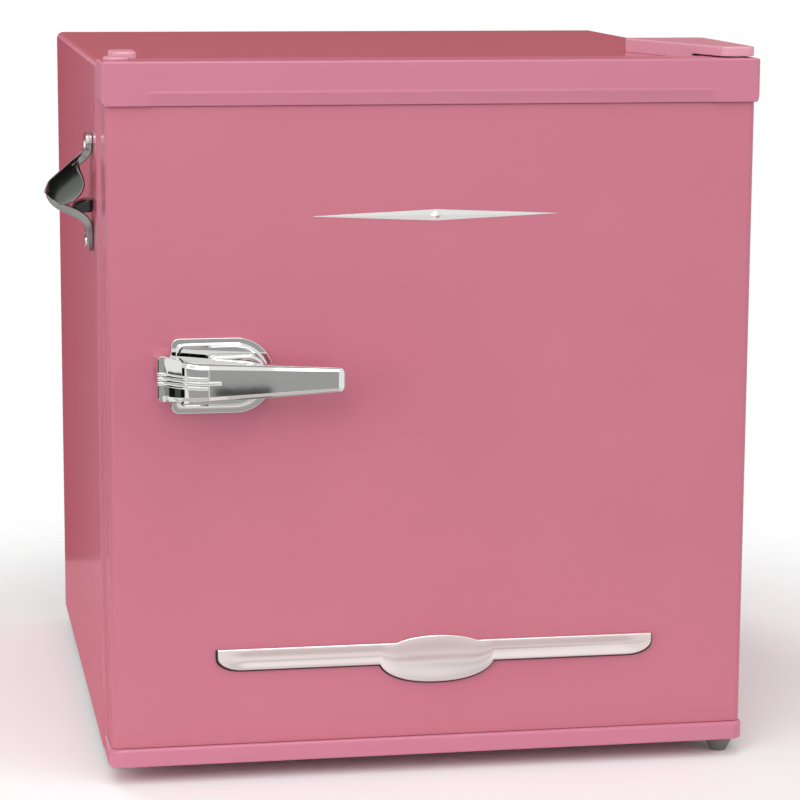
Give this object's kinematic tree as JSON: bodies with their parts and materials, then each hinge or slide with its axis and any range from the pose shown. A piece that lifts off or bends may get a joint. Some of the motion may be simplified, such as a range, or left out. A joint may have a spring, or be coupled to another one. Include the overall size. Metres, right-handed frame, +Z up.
{
  "type": "mini fridge",
  "caption": "Compact retro refrigerator with a hinged door, chromed latch-style handle, ice box, glass shelf, door bins, bottle opener and a compressor bay at the back.",
  "frame": {"origin": "on the floor under the middle of the whole fridge's bounding box", "axes": "+X to the right of the door seen from the front, +Y from the door towards the back, +Z up"},
  "size_m": [0.4786, 0.506, 0.4965],
  "materials": {
    "case_paint": "gloss enamel on steel",
    "case_plastic": "glossy moulded ABS in the case colour",
    "galvanized": "galvanized sheet",
    "zinc_steel": "zinc-plated steel",
    "foam": "rigid insulation foam",
    "liner_white": "white vacuum-formed sheet",
    "white_plastic": "white moulded plastic",
    "clear_plastic": "translucent moulded plastic",
    "glass": "clear tempered glass",
    "aluminium": "roll-bonded sheet",
    "black_enamel": "black enamel",
    "black_plastic": "black moulded plastic",
    "rubber": "moulded rubber",
    "gasket": "soft magnetic seal",
    "copper": "copper tube",
    "chrome": "polished chrome plate",
    "satin_trim": "satin silver trim",
    "acetal": "acetal bush",
    "foot_grey": "grey moulded foot"
  },
  "bodies": {
    "cabinet": {"cabinet_shell": "case_paint", "back_panel": "galvanized", "base_pan": "galvanized", "cabinet_foam": "foam", "inner_liner": "liner_white", "shelf_rails": "white_plastic", "condenser_coil": "black_enamel", "evaporator": "aluminium", "evaporator_spacers": "white_plastic", "icebox_frame": "white_plastic", "thermostat_housing": "white_plastic", "thermostat_switch": "black_plastic", "drain_tube": "white_plastic", "compressor_plate": "galvanized", "compressor": "black_enamel", "compressor_grommets": "rubber", "compressor_bolts": "zinc_steel", "relay_cover": "black_plastic", "cord_gland": "rubber", "suction_pipe": "copper", "discharge_pipe": "copper", "filter_drier": "copper", "capillary_tube": "copper", "drain_pan": "black_plastic", "rear_feet": "foot_grey", "top_hinge_plate": "zinc_steel", "top_hinge_pin": "zinc_steel", "top_hinge_screws": "zinc_steel", "hinge_cover": "case_plastic", "hinge_hole_cap": "case_plastic", "bottom_hinge_plate": "zinc_steel", "bottom_hinge_pin": "zinc_steel", "bottom_hinge_screws": "zinc_steel", "back_screws": "zinc_steel", "bottle_opener": "chrome", "opener_screws": "chrome"},
    "door": {"door_skin": "case_paint", "door_foam": "foam", "door_top_cap": "case_plastic", "door_bottom_cap": "case_plastic", "door_liner": "liner_white", "door_gasket": "gasket", "door_bin_lower": "clear_plastic", "door_bin_upper": "clear_plastic", "handle_base": "chrome", "handle_lever": "chrome", "handle_studs": "zinc_steel", "lower_trim": "satin_trim", "badge_bar": "chrome", "top_hinge_bush": "acetal", "bottom_hinge_bush": "acetal", "door_hole_plug": "case_plastic"},
    "icebox_flap": {"icebox_flap": "clear_plastic"},
    "thermostat_knob": {"thermostat_knob": "white_plastic"},
    "shelf": {"shelf_glass": "glass", "shelf_front_trim": "white_plastic", "shelf_rear_trim": "white_plastic"},
    "drip_tray": {"drip_tray": "clear_plastic"},
    "front_left_foot": {"front_left_foot": "foot_grey"},
    "front_right_foot": {"front_right_foot": "foot_grey"}
  },
  "joints": [
    {"name": "door_swing", "type": "hinge", "parent": "cabinet", "child": "door", "pos_m": [0.22725, -0.19685, 0.013], "axis": [0, 0, 1], "range_deg": [0, 120]},
    {"name": "icebox_flap_swing", "type": "hinge", "parent": "cabinet", "child": "icebox_flap", "pos_m": [-0.04025, -0.06585, 0.4305], "axis": [-1, 0, 0], "range_deg": [0, 80]},
    {"name": "thermostat_turn", "type": "hinge", "parent": "cabinet", "child": "thermostat_knob", "pos_m": [0.17325, -0.04885, 0.4055], "axis": [0, -1, 0], "range_deg": [0, 280]},
    {"name": "shelf_slide", "type": "slide", "parent": "cabinet", "child": "shelf", "axis": [0, -1, 0], "range_m": [0, 0.07]},
    {"name": "drip_tray_slide", "type": "slide", "parent": "cabinet", "child": "drip_tray", "axis": [0, -1, 0], "range_m": [0, 0.07]},
    {"name": "left_foot_height", "type": "slide", "parent": "cabinet", "child": "front_left_foot", "axis": [0, 0, -1], "range_m": [0, 0.008]},
    {"name": "right_foot_height", "type": "slide", "parent": "cabinet", "child": "front_right_foot", "axis": [0, 0, -1], "range_m": [0, 0.005]}
  ]
}
